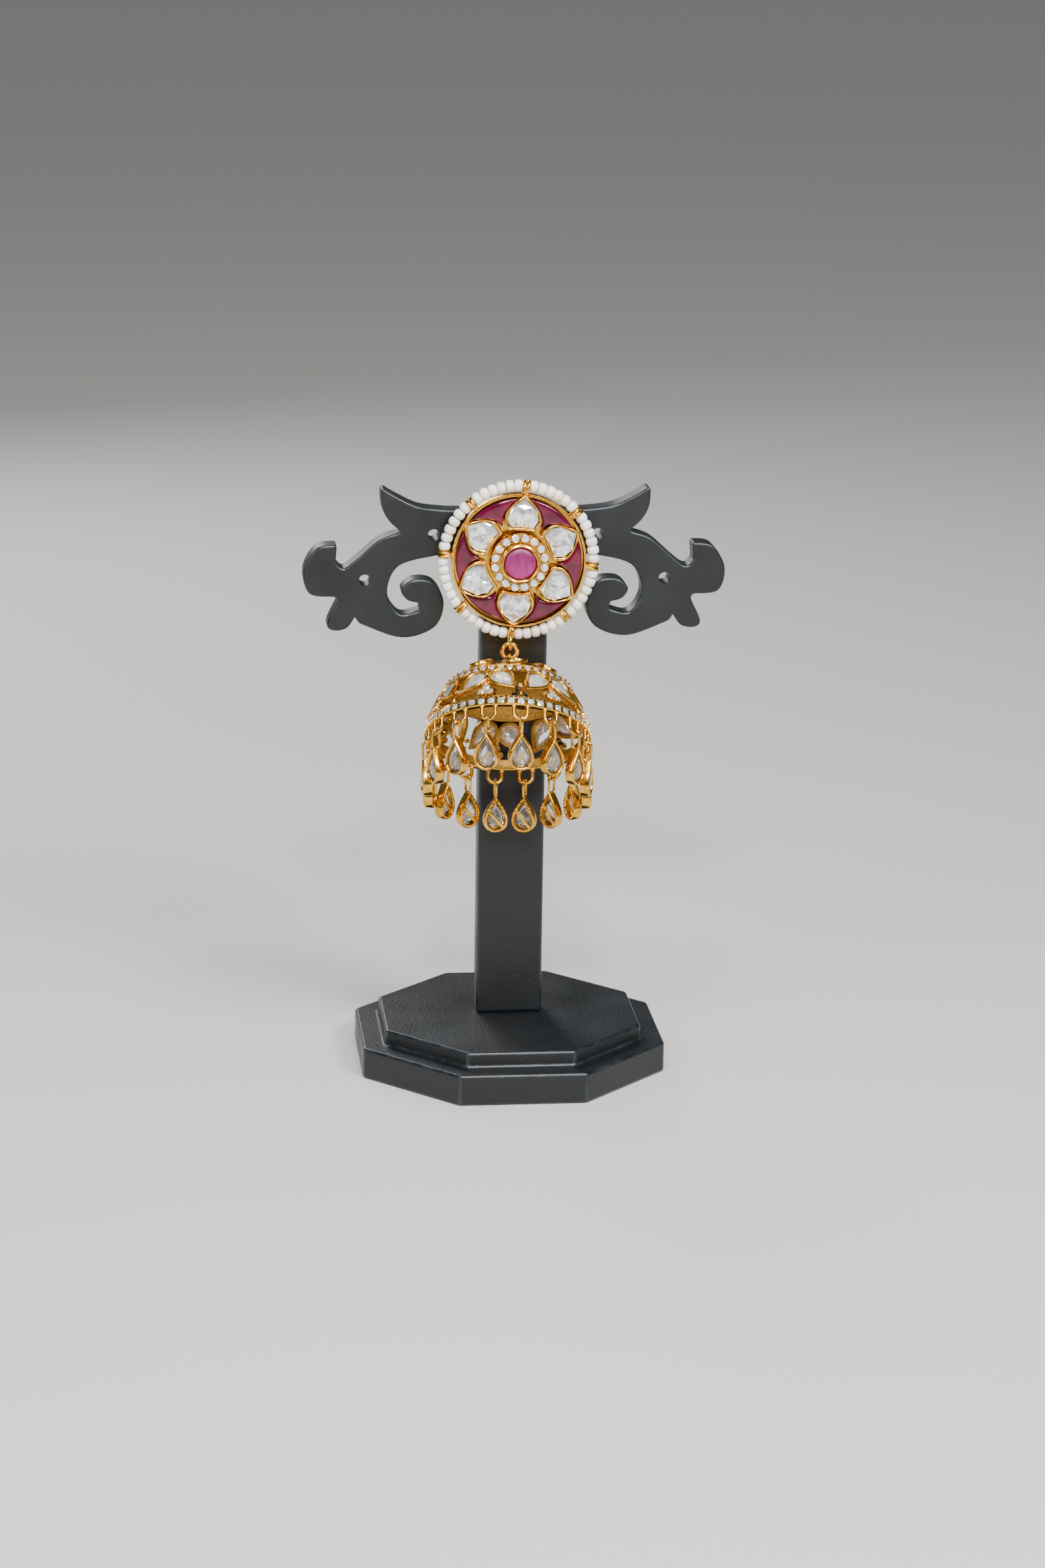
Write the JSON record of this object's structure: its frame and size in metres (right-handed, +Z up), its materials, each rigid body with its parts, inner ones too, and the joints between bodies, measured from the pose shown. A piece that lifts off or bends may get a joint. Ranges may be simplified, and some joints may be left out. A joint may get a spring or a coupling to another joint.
{
  "type": "jhumka earring on display stand",
  "caption": "Bell-shaped jhumka earring with a round flower stud and teardrop drops, hanging on a plain black T-shaped display stand.",
  "frame": {"origin": "middle of the stand's underside", "axes": "+Z up, the stand's and the stud's face towards -Y, +X to the right seen from the front"},
  "size_m": [0.0756, 0.0568, 0.1084],
  "materials": {
    "stand_plastic": "satin black moulded plastic with a fine grain",
    "gold_plate": "bright gold plating on cast metal",
    "clear_stone": "foil-backed clear cut stone",
    "ruby_glass": "glossy ruby-pink glass",
    "seed_bead": "off-white pearly seed bead"
  },
  "bodies": {
    "root": {"stand_base": "stand_plastic", "stand_post": "stand_plastic", "stand_crossbar": "stand_plastic", "stud_setting": "gold_plate", "ruby_center": "ruby_glass", "ruby_segment_1": "ruby_glass", "ruby_segment_2": "ruby_glass", "ruby_segment_3": "ruby_glass", "ruby_segment_4": "ruby_glass", "ruby_segment_5": "ruby_glass", "ruby_segment_6": "ruby_glass", "petal_stone_1": "clear_stone", "petal_stone_2": "clear_stone", "petal_stone_3": "clear_stone", "petal_stone_4": "clear_stone", "petal_stone_5": "clear_stone", "petal_stone_6": "clear_stone", "bead_string_1": "seed_bead", "bead_string_2": "seed_bead", "bead_string_3": "seed_bead", "bead_string_4": "seed_bead", "bead_string_5": "seed_bead", "bead_string_6": "seed_bead", "bead_string_7": "seed_bead", "bead_string_8": "seed_bead", "ear_nut": "gold_plate"},
    "link": {"jump_ring": "gold_plate"},
    "bell": {"bell_body": "gold_plate", "drop_1": "gold_plate", "drop_2": "gold_plate", "drop_3": "gold_plate", "drop_4": "gold_plate", "drop_5": "gold_plate", "drop_6": "gold_plate", "drop_7": "gold_plate", "drop_8": "gold_plate", "drop_9": "gold_plate", "drop_10": "gold_plate", "drop_11": "gold_plate", "drop_12": "gold_plate", "drop_13": "gold_plate", "drop_14": "gold_plate", "drop_15": "gold_plate", "drop_16": "gold_plate", "drop_stone_1": "clear_stone", "drop_stone_2": "clear_stone", "drop_stone_3": "clear_stone", "drop_stone_4": "clear_stone", "drop_stone_5": "clear_stone", "drop_stone_6": "clear_stone", "drop_stone_7": "clear_stone", "drop_stone_8": "clear_stone", "drop_stone_9": "clear_stone", "drop_stone_10": "clear_stone", "drop_stone_11": "clear_stone", "drop_stone_12": "clear_stone", "drop_stone_13": "clear_stone", "drop_stone_14": "clear_stone", "drop_stone_15": "clear_stone", "drop_stone_16": "clear_stone"}
  },
  "joints": [
    {"name": "link_swing", "type": "hinge", "parent": "root", "child": "link", "pos_m": [-0.00125, -0.0059, 0.07814], "axis": [0, 1, 0], "range_deg": [-15, 15]},
    {"name": "bell_swing", "type": "hinge", "parent": "link", "child": "bell", "pos_m": [-0.00125, -0.0059, 0.0764], "axis": [-0.9925, 0.1219, 0], "range_deg": [0, 20]}
  ]
}
